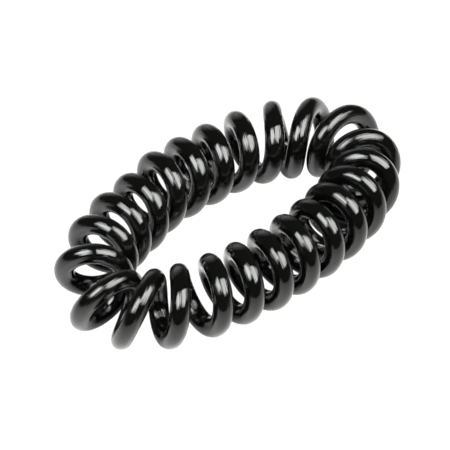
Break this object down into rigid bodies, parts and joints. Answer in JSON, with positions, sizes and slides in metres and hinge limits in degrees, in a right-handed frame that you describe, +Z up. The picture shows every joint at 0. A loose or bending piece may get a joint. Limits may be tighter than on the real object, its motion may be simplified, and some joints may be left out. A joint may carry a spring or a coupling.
{
  "type": "spiral hair tie",
  "caption": "Spiral hair tie: one round glossy plastic cord wound into an open coil and closed into a springy ring, lying flat and squeezed to a long oval.",
  "frame": {"origin": "middle of the ring's underside, at the height of the lowest turn, where the ring rests on a surface", "axes": "+Z up out of the surface; +X along the long way of the squeezed oval; +Y across it"},
  "size_m": [0.07, 0.0402, 0.0156],
  "materials": {
    "cord": "glossy"
  },
  "bodies": {
    "root": {"coil": "cord"}
  },
  "joints": []
}
